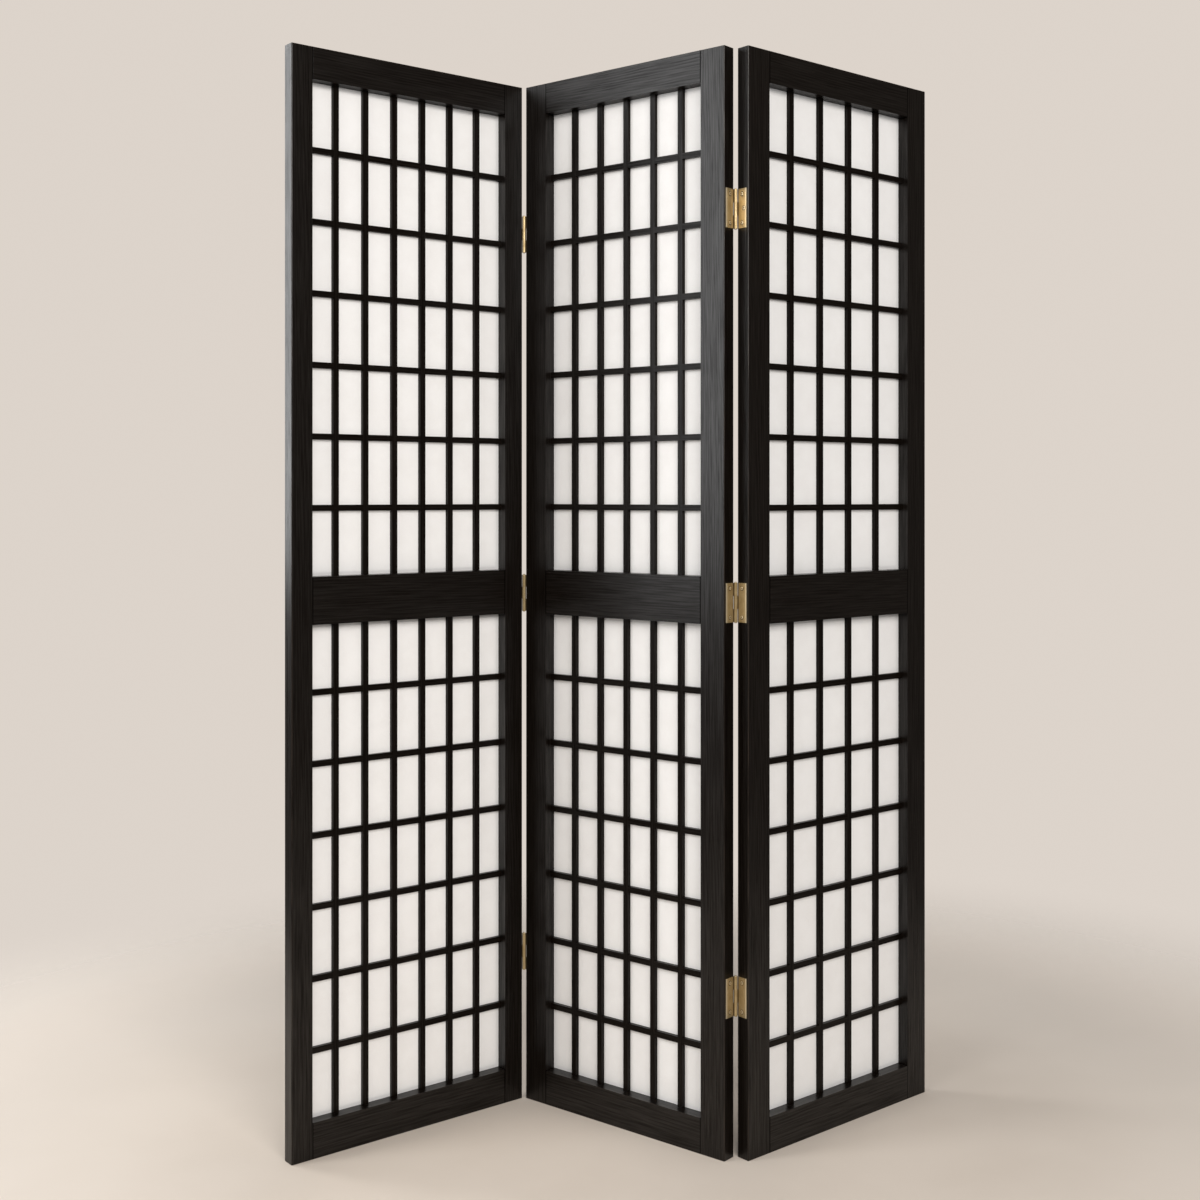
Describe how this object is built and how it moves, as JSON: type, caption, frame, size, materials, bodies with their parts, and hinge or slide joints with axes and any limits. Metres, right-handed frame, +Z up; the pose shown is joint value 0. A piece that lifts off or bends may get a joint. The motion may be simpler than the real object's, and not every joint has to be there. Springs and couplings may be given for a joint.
{
  "type": "folding screen",
  "caption": "Free-standing folding screen of hinged panels, each a dark wooden frame with a square lattice over white paper, standing in a zigzag.",
  "frame": {"origin": "on the floor, under the middle of the middle panel, on the underside of its bottom rail", "axes": "+Z up, +X along the screen to the viewer's right, +Y to the back; the fronts of the panels, where the lattice is seen, look towards -Y"},
  "size_m": [1.0656, 0.331, 1.785],
  "materials": {
    "stained_wood": "satin, black stain",
    "screen_paper": "matt fibre paper",
    "hinge_brass": "satin"
  },
  "bodies": {
    "middle_panel": {"middle_panel_left_stile": "stained_wood", "middle_panel_right_stile": "stained_wood", "middle_panel_top_rail": "stained_wood", "middle_panel_middle_rail": "stained_wood", "middle_panel_bottom_rail": "stained_wood", "middle_panel_upper_uprights": "stained_wood", "middle_panel_upper_crossbars": "stained_wood", "middle_panel_lower_uprights": "stained_wood", "middle_panel_lower_crossbars": "stained_wood", "middle_panel_upper_beads": "stained_wood", "middle_panel_lower_beads": "stained_wood", "middle_panel_upper_paper": "screen_paper", "middle_panel_lower_paper": "screen_paper", "left_fold_right_leaves": "hinge_brass", "left_fold_pins": "hinge_brass", "right_fold_left_leaves": "hinge_brass", "right_fold_pins": "hinge_brass"},
    "left_panel": {"left_panel_left_stile": "stained_wood", "left_panel_right_stile": "stained_wood", "left_panel_top_rail": "stained_wood", "left_panel_middle_rail": "stained_wood", "left_panel_bottom_rail": "stained_wood", "left_panel_upper_uprights": "stained_wood", "left_panel_upper_crossbars": "stained_wood", "left_panel_lower_uprights": "stained_wood", "left_panel_lower_crossbars": "stained_wood", "left_panel_upper_beads": "stained_wood", "left_panel_lower_beads": "stained_wood", "left_panel_upper_paper": "screen_paper", "left_panel_lower_paper": "screen_paper", "left_fold_left_leaves": "hinge_brass"},
    "right_panel": {"right_panel_left_stile": "stained_wood", "right_panel_right_stile": "stained_wood", "right_panel_top_rail": "stained_wood", "right_panel_middle_rail": "stained_wood", "right_panel_bottom_rail": "stained_wood", "right_panel_upper_uprights": "stained_wood", "right_panel_upper_crossbars": "stained_wood", "right_panel_lower_uprights": "stained_wood", "right_panel_lower_crossbars": "stained_wood", "right_panel_upper_beads": "stained_wood", "right_panel_lower_beads": "stained_wood", "right_panel_upper_paper": "screen_paper", "right_panel_lower_paper": "screen_paper", "right_fold_right_leaves": "hinge_brass"}
  },
  "joints": [
    {"name": "left_fold", "type": "hinge", "parent": "middle_panel", "child": "left_panel", "pos_m": [-0.18424, 0.12681, 0.8925], "axis": [0, 0, 1], "range_deg": [-78.5, 101.5]},
    {"name": "right_fold", "type": "hinge", "parent": "middle_panel", "child": "right_panel", "pos_m": [0.18424, -0.12681, 0.8925], "axis": [0, 0, 1], "range_deg": [-80.5, 99.5]}
  ]
}
